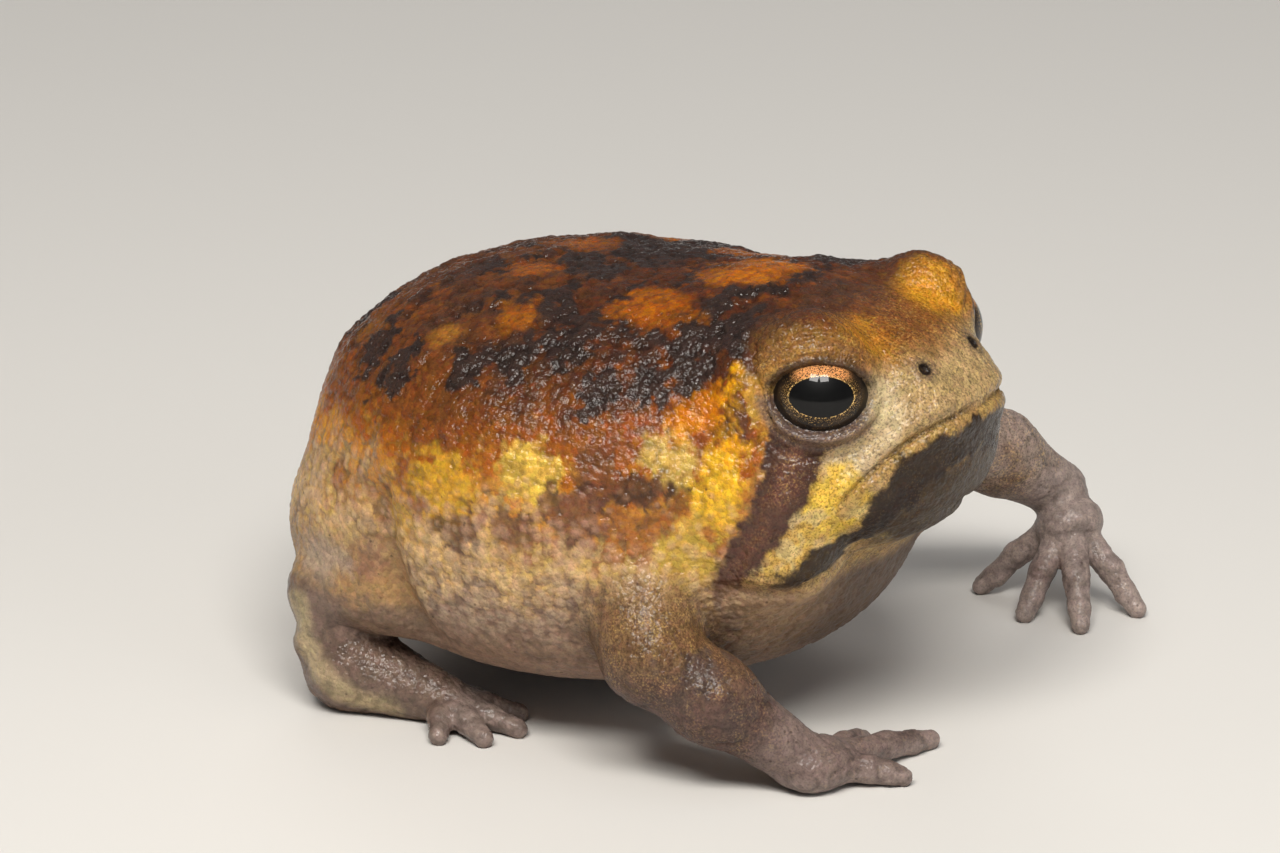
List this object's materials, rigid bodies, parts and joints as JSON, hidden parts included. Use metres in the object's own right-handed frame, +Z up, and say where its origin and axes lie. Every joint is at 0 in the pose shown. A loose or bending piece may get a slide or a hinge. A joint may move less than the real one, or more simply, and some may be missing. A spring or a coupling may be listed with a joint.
{
  "type": "rain frog",
  "caption": "Life-size still model of a squatting rain frog: round body, blunt face with a downturned mouth, short limbs, one hand raised on its fingers.",
  "frame": {"origin": "middle of the footprint's box, on the floor that the feet and hands rest on", "axes": "+X towards the frog's left, +Y towards its rump, so it faces -Y, and +Z up"},
  "size_m": [0.0408, 0.0404, 0.0258],
  "materials": {
    "torso": "moist granular skin, dark brown back, orange and yellow flanks",
    "head": "moist finely speckled gold-brown skin",
    "lower_jaw": "moist skin, pale lip over a dark stripe",
    "arms": "moist grey-brown skin",
    "hands": "moist purplish grey skin",
    "digits": "moist pinkish grey skin",
    "thighs": "moist cream to brown skin",
    "feet": "moist grey-brown skin with a pale digging edge",
    "eye": "wet gloss, black-brown with gold flecks"
  },
  "bodies": {
    "root": {"eye_left": "eye", "eye_right": "eye", "finger_left_1": "digits", "finger_left_2": "digits", "finger_left_3": "digits", "finger_left_4": "digits", "finger_right_1": "digits", "finger_right_2": "digits", "finger_right_3": "digits", "finger_right_4": "digits", "foot_left": "feet", "foot_right": "feet", "forearm_left": "arms", "forearm_right": "arms", "hand_left": "hands", "hand_right": "hands", "head": "head", "lower_jaw": "lower_jaw", "thigh_left": "thighs", "thigh_right": "thighs", "toe_left_1": "digits", "toe_left_2": "digits", "toe_left_3": "digits", "toe_left_4": "digits", "toe_left_5": "digits", "toe_right_1": "digits", "toe_right_2": "digits", "toe_right_3": "digits", "toe_right_4": "digits", "toe_right_5": "digits", "torso": "torso", "upper_arm_left": "arms", "upper_arm_right": "arms"}
  },
  "joints": []
}
